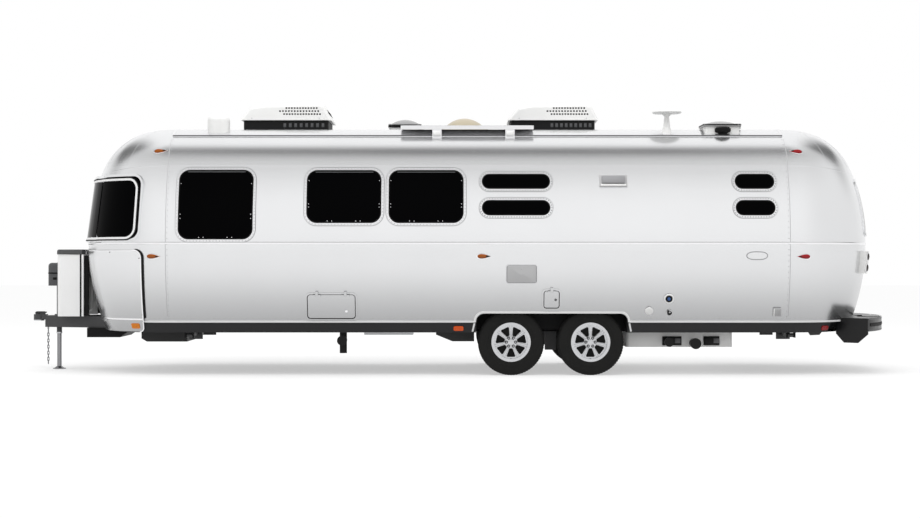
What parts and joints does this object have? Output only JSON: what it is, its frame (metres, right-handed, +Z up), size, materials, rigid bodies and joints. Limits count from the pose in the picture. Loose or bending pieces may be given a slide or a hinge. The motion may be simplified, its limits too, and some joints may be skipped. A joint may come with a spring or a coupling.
{
  "type": "travel caravan",
  "caption": "Long travel caravan with a rounded riveted shell, tandem axles, drawbar with gas box, entry door, step, hatches and roof equipment.",
  "frame": {"origin": "on the ground under the middle of the caravan", "axes": "+X towards the rear, hitch at -X; +Y towards the curb side with the entry door; +Z up"},
  "size_m": [9.436, 2.6293, 2.934],
  "materials": {
    "aluminium_skin": "satin, riveted",
    "polished_sheet": "polished",
    "dark_glass": "dark tint",
    "chassis_paint": "satin black",
    "zinc_steel": "zinc plated",
    "dark_trim": "matt black",
    "floor_board": "plain board",
    "white_moulding": "satin white",
    "grey_moulding": "satin grey",
    "bottle_paint": "gloss off-white",
    "smoke_moulding": "smoked",
    "tan_moulding": "tan",
    "solar_cells": "dark blue cells",
    "black_pipe": "matt black",
    "amber_lens": "amber",
    "red_lens": "red",
    "tyre_rubber": "matt",
    "alloy_wheel": "machined silver"
  },
  "bodies": {
    "caravan": {"air_bases": "dark_trim", "air_shrouds": "white_moulding", "awning": "white_moulding", "axles": "chassis_paint", "belly_pan": "dark_trim", "bumper": "aluminium_skin", "cap_front": "aluminium_skin", "cap_rear": "aluminium_skin", "chassis": "chassis_paint", "coupler": "chassis_paint", "drain_pipes": "black_pipe", "floor": "floor_board", "gas_bottles": "bottle_paint", "gas_box": "white_moulding", "jack_post": "chassis_paint", "lamps_amber": "amber_lens", "lamps_red": "red_lens", "roof": "aluminium_skin", "roof_fittings": "white_moulding", "safety_chains": "zinc_steel", "skirt": "dark_trim", "skylight": "tan_moulding", "solar_panel": "solar_cells", "stone_guards": "polished_sheet", "tail_lamps": "white_moulding", "tanks": "grey_moulding", "tray": "chassis_paint", "under_mounts": "chassis_paint", "wall_fittings": "aluminium_skin", "wall_left": "aluminium_skin", "wall_right": "aluminium_skin", "wheel_wells": "dark_trim", "window_frames": "aluminium_skin", "window_glass": "dark_glass"},
    "door": {"door": "aluminium_skin", "door_glass": "dark_glass"},
    "storage_hatch": {"storage_hatch": "aluminium_skin"},
    "service_hatch": {"service_hatch": "aluminium_skin"},
    "jack_foot": {"jack_foot": "zinc_steel"},
    "gas_lid": {"gas_lid": "grey_moulding"},
    "bumper_lid": {"bumper_lid": "aluminium_skin"},
    "vent_lid_front": {"vent_lid_front": "smoke_moulding"},
    "vent_lid_rear": {"vent_lid_rear": "smoke_moulding"},
    "tv_aerial": {"tv_aerial": "white_moulding"},
    "step_arms": {"step_arms": "zinc_steel"},
    "step_tread": {"step_tread": "zinc_steel"},
    "stabiliser_front_left": {"stabiliser_front_left": "chassis_paint"},
    "stabiliser_front_right": {"stabiliser_front_right": "chassis_paint"},
    "stabiliser_rear_left": {"stabiliser_rear_left": "chassis_paint"},
    "stabiliser_rear_right": {"stabiliser_rear_right": "chassis_paint"},
    "wheel_front_left": {"tyre_front_left": "tyre_rubber", "rim_front_left": "alloy_wheel"},
    "wheel_front_right": {"tyre_front_right": "tyre_rubber", "rim_front_right": "alloy_wheel"},
    "wheel_rear_left": {"tyre_rear_left": "tyre_rubber", "rim_rear_left": "alloy_wheel"},
    "wheel_rear_right": {"tyre_rear_right": "tyre_rubber", "rim_rear_right": "alloy_wheel"}
  },
  "joints": [
    {"name": "wheel_front_left_spin", "type": "hinge", "parent": "caravan", "child": "wheel_front_left", "pos_m": [0.561, -1.0045, 0.35], "axis": [0, 1, 0], "continuous": true},
    {"name": "wheel_front_right_spin", "type": "hinge", "parent": "caravan", "child": "wheel_front_right", "pos_m": [0.561, 1.0045, 0.35], "axis": [0, 1, 0], "continuous": true},
    {"name": "wheel_rear_left_spin", "type": "hinge", "parent": "caravan", "child": "wheel_rear_left", "pos_m": [1.401, -1.0045, 0.35], "axis": [0, 1, 0], "continuous": true},
    {"name": "wheel_rear_right_spin", "type": "hinge", "parent": "caravan", "child": "wheel_rear_right", "pos_m": [1.401, 1.0045, 0.35], "axis": [0, 1, 0], "continuous": true},
    {"name": "door_hinge", "type": "hinge", "parent": "caravan", "child": "door", "pos_m": [-1.154, 1.309, 1.395], "axis": [0, 0, 1], "range_deg": [0, 160]},
    {"name": "storage_hatch_hinge", "type": "hinge", "parent": "caravan", "child": "storage_hatch", "pos_m": [-1.328, -1.24878, 0.84816], "axis": [-1, 0, 0], "range_deg": [0, 100]},
    {"name": "service_hatch_hinge", "type": "hinge", "parent": "caravan", "child": "service_hatch", "pos_m": [0.982, -1.25596, 0.88783], "axis": [-1, 0, 0], "range_deg": [0, 100]},
    {"name": "gas_lid_hinge", "type": "hinge", "parent": "caravan", "child": "gas_lid", "pos_m": [-4.116, 0, 1.324], "axis": [0, 1, 0], "range_deg": [0, 75]},
    {"name": "bumper_lid_hinge", "type": "hinge", "parent": "caravan", "child": "bumper_lid", "pos_m": [4.4, 0, 0.607], "axis": [0, -1, 0], "range_deg": [0, 70]},
    {"name": "vent_lid_front_hinge", "type": "hinge", "parent": "caravan", "child": "vent_lid_front", "pos_m": [-0.394, 0, 2.692], "axis": [0, 1, 0], "range_deg": [0, 60]},
    {"name": "vent_lid_rear_hinge", "type": "hinge", "parent": "caravan", "child": "vent_lid_rear", "pos_m": [3.058, -0.59, 2.66], "axis": [0, 1, 0], "range_deg": [0, 60]},
    {"name": "jack_slide", "type": "slide", "parent": "caravan", "child": "jack_foot", "axis": [0, 0, 1], "range_m": [0, 0.36]},
    {"name": "stabiliser_front_left_swing", "type": "hinge", "parent": "caravan", "child": "stabiliser_front_left", "pos_m": [-2.856, -0.93, 0.418], "axis": [-1, 0, 0], "range_deg": [0, 62]},
    {"name": "stabiliser_front_right_swing", "type": "hinge", "parent": "caravan", "child": "stabiliser_front_right", "pos_m": [-2.856, 0.93, 0.418], "axis": [1, 0, 0], "range_deg": [0, 62]},
    {"name": "stabiliser_rear_left_swing", "type": "hinge", "parent": "caravan", "child": "stabiliser_rear_left", "pos_m": [3.54, -0.93, 0.418], "axis": [-1, 0, 0], "range_deg": [0, 62]},
    {"name": "stabiliser_rear_right_swing", "type": "hinge", "parent": "caravan", "child": "stabiliser_rear_right", "pos_m": [3.54, 0.93, 0.418], "axis": [1, 0, 0], "range_deg": [0, 62]},
    {"name": "step_swing", "type": "hinge", "parent": "caravan", "child": "step_arms", "pos_m": [-0.81, 1.02, 0.425], "axis": [1, 0, 0], "range_deg": [0, 128]},
    {"name": "step_level", "type": "hinge", "parent": "step_arms", "child": "step_tread", "pos_m": [-0.81, 0.83415, 0.3855], "axis": [1, 0, 0], "range_deg": [-128, 0]},
    {"name": "aerial_turn", "type": "hinge", "parent": "caravan", "child": "tv_aerial", "pos_m": [2.246, -0.74, 2.64], "axis": [0, 0, 1], "range_deg": [-175, 175]}
  ],
  "couplings": [
    {"joint": "step_level", "follows": "step_swing", "ratio": -1}
  ]
}
